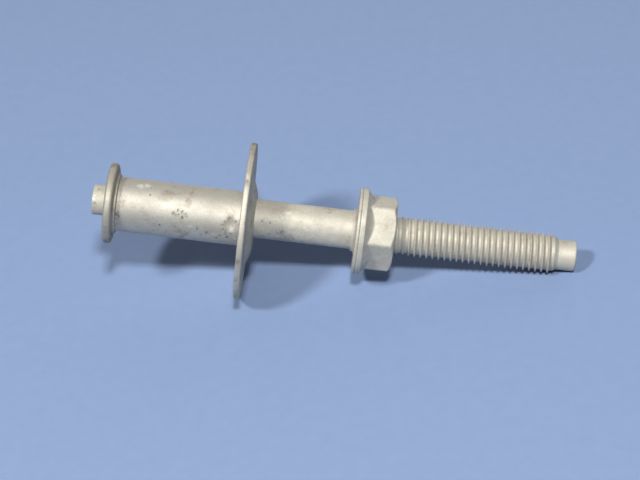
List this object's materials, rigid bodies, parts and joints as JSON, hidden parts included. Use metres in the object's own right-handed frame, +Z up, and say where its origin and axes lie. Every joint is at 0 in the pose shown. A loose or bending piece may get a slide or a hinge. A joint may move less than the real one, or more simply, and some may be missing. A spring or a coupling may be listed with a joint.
{
  "type": "wall anchor",
  "caption": "Wall anchor: double-ended hex-collar stud through a flanged spacer sleeve, with a dished wall plate and a loose washer.",
  "frame": {"origin": "where the stud's axis crosses the wall face, which is the plane the plate's outer rim bears on", "axes": "+X along the stud's axis, into the wall; -X out of it towards the long threaded end; +Z up"},
  "size_m": [0.1198, 0.039, 0.039],
  "materials": {
    "coated_stud": "thin satin light grey-beige coat",
    "coated_washer": "thin satin light grey-beige coat",
    "coated_plate": "satin grey-beige coat with a brownish cast and worn rim",
    "coated_sleeve": "satin light grey-beige coat with small chips and speckle",
    "coated_flange": "satin light grey-beige coat"
  },
  "bodies": {
    "sleeve": {"spacer_sleeve": "coated_sleeve", "end_flange": "coated_flange"},
    "plate": {"dished_plate": "coated_plate"},
    "washer": {"flange_washer": "coated_washer"},
    "stud": {"stud": "coated_stud"}
  },
  "joints": [
    {"name": "stud_push", "type": "slide", "parent": "sleeve", "child": "washer", "axis": [1, 0, 0], "range_m": [0, 0.024]},
    {"name": "stud_spin", "type": "hinge", "parent": "washer", "child": "stud", "pos_m": [-0.034, 0, 0], "axis": [1, 0, 0], "continuous": true},
    {"name": "plate_spin", "type": "hinge", "parent": "sleeve", "child": "plate", "pos_m": [0, 0, -0.0013], "axis": [1, 0, 0], "continuous": true}
  ]
}
